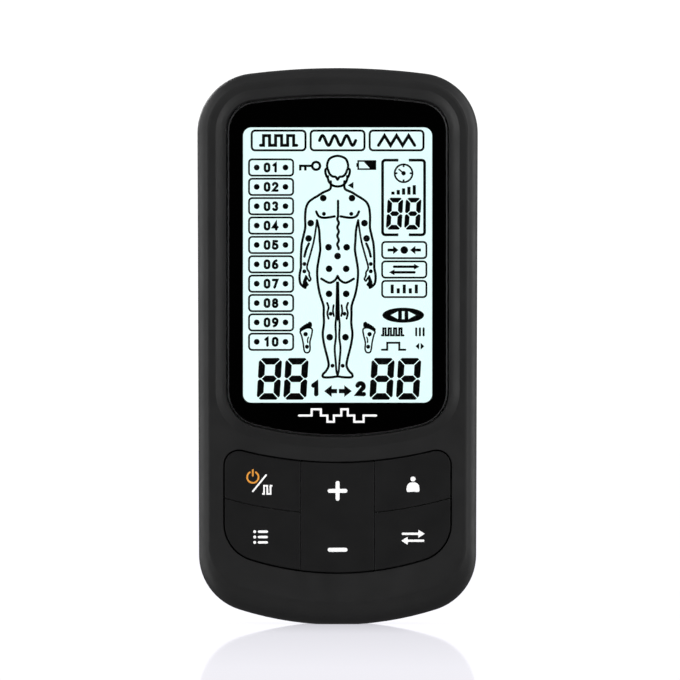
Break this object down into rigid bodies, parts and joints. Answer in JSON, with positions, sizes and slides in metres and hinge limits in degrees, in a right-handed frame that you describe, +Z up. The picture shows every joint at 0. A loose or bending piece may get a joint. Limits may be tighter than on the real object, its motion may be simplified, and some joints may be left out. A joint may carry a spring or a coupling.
{
  "type": "nerve and muscle stimulator",
  "caption": "Handheld electrotherapy stimulator with a tall backlit display, keys with a rocker, output sockets at the top end and a battery door.",
  "frame": {"origin": "centre of the housing's footprint on the surface it stands on, under the lower end", "axes": "+X to the right seen from the display, the display faces -Y, +Z up along the housing to the output sockets"},
  "size_m": [0.0606, 0.023, 0.12],
  "materials": {
    "casing": "fine satin rubber-touch coating over moulded plastic",
    "key_cap": "smooth matte black moulding",
    "clear_window": "clear polished",
    "black_mask": "black print film",
    "lcd_glass": "backlit pale cyan",
    "light_guide": "milky white",
    "white_frame": "white moulding",
    "grey_silicone": "translucent grey silicone",
    "carbon_pill": "conductive carbon rubber",
    "circuit_board": "green solder mask on glass-epoxy",
    "spring_steel": "nickel-plated spring steel",
    "screw_steel": "zinc-plated steel",
    "contact_brass": "plated brass",
    "can_aluminium": "drawn can",
    "chip_plastic": "black moulding compound",
    "smd_ceramic": "fired ceramic chips",
    "cell_sleeve": "printed shrink sleeve on a steel can",
    "socket_plastic": "black moulding",
    "ferrite": "pressed ferrite",
    "winding_tape": "yellow tape over enamelled wire",
    "legend_white": "white screen print on the keys and the window",
    "legend_orange": "orange screen print of the power symbol",
    "display_segment": "dark liquid-crystal segments"
  },
  "bodies": {
    "housing": {"battery_1": "cell_sleeve", "battery_2": "cell_sleeve", "battery_3": "cell_sleeve", "battery_springs": "spring_steel", "bridge_contact_lower": "spring_steel", "bridge_contact_upper": "spring_steel", "buzzer": "chip_plastic", "capacitors": "can_aluminium", "case_screws": "screw_steel", "crystal": "can_aluminium", "display_window": "clear_window", "driver_chips": "chip_plastic", "front_shell": "casing", "keypad_mat": "grey_silicone", "lcd_backlight": "light_guide", "lcd_holder": "white_frame", "lcd_panel": "lcd_glass", "main_pcb": "circuit_board", "mcu_chip": "chip_plastic", "negative_contact": "spring_steel", "output_socket_a": "socket_plastic", "output_socket_b": "socket_plastic", "pcb_screws": "screw_steel", "positive_contact": "spring_steel", "rear_shell": "casing", "smd_parts": "smd_ceramic", "socket_pins": "contact_brass", "transformer_core_a": "ferrite", "transformer_core_b": "ferrite", "transformer_winding_a": "winding_tape", "transformer_winding_b": "winding_tape", "window_tape": "black_mask", "zebra_strip": "grey_silicone"},
    "power_mode_key_body": {"power_mode_key": "key_cap", "power_mode_plunger": "grey_silicone", "power_mode_pill": "carbon_pill"},
    "program_key_body": {"program_key": "key_cap", "program_plunger": "grey_silicone", "program_pill": "carbon_pill"},
    "body_key_body": {"body_key": "key_cap", "body_plunger": "grey_silicone", "body_pill": "carbon_pill"},
    "channel_key_body": {"channel_key": "key_cap", "channel_plunger": "grey_silicone", "channel_pill": "carbon_pill"},
    "level_rocker_body": {"level_rocker": "key_cap", "level_up_plunger": "grey_silicone", "level_up_pill": "carbon_pill", "level_down_plunger": "grey_silicone", "level_down_pill": "carbon_pill"},
    "battery_door_body": {"battery_door": "casing"}
  },
  "joints": [
    {"name": "power_mode_press", "type": "slide", "parent": "housing", "child": "power_mode_key_body", "axis": [0, 1, 0], "range_m": [0, 0.0008], "stiffness_N_per_m": 1500, "springref_m": -0.0002},
    {"name": "program_press", "type": "slide", "parent": "housing", "child": "program_key_body", "axis": [0, 1, 0], "range_m": [0, 0.0008], "stiffness_N_per_m": 1500, "springref_m": -0.0002},
    {"name": "body_press", "type": "slide", "parent": "housing", "child": "body_key_body", "axis": [0, 1, 0], "range_m": [0, 0.0008], "stiffness_N_per_m": 1500, "springref_m": -0.0002},
    {"name": "channel_press", "type": "slide", "parent": "housing", "child": "channel_key_body", "axis": [0, 1, 0], "range_m": [0, 0.0008], "stiffness_N_per_m": 1500, "springref_m": -0.0002},
    {"name": "level_rock", "type": "hinge", "parent": "housing", "child": "level_rocker_body", "pos_m": [0, -0.0084, 0.0229], "axis": [1, 0, 0], "range_deg": [-2.5, 2.5], "stiffness_Nm_per_rad": 0.3},
    {"name": "battery_door_open", "type": "hinge", "parent": "housing", "child": "battery_door_body", "pos_m": [0, 0.0107, 0.0123], "axis": [-1, 0, 0], "range_deg": [0, 70]}
  ]
}
